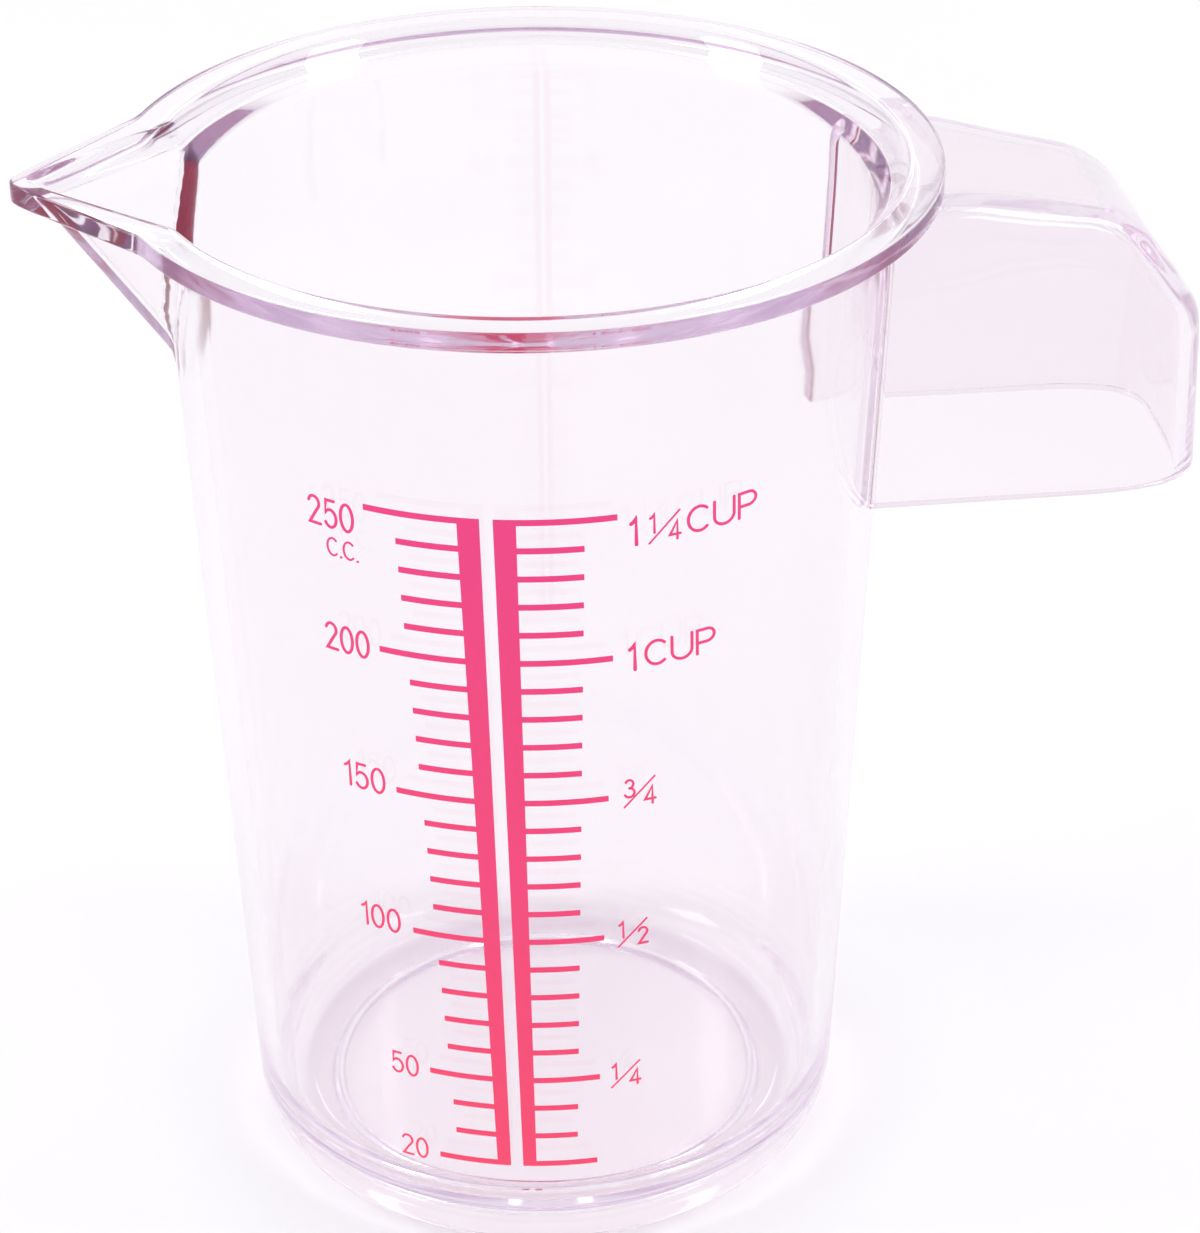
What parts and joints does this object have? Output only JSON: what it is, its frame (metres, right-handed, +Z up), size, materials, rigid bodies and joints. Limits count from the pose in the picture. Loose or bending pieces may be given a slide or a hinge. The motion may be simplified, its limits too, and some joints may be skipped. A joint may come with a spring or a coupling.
{
  "type": "measuring cup",
  "caption": "Clear tapered beaker for measuring liquids, with a stepped rim, a V-shaped pouring spout, a hollow thumb handle and printed volume scales side by side on the wall.",
  "frame": {"origin": "on the table under the cup, midway between the tip of the spout and the end of the handle", "axes": "+Z up along the beaker, +X from the spout towards the handle, -Y towards the printed side"},
  "size_m": [0.1156, 0.0798, 0.11],
  "materials": {
    "clear_plastic": "clear, polished",
    "printed_ink": "screen printed"
  },
  "bodies": {
    "root": {"cup_body": "clear_plastic", "handle": "clear_plastic", "cc_scale": "printed_ink", "cup_scale": "printed_ink"}
  },
  "joints": []
}
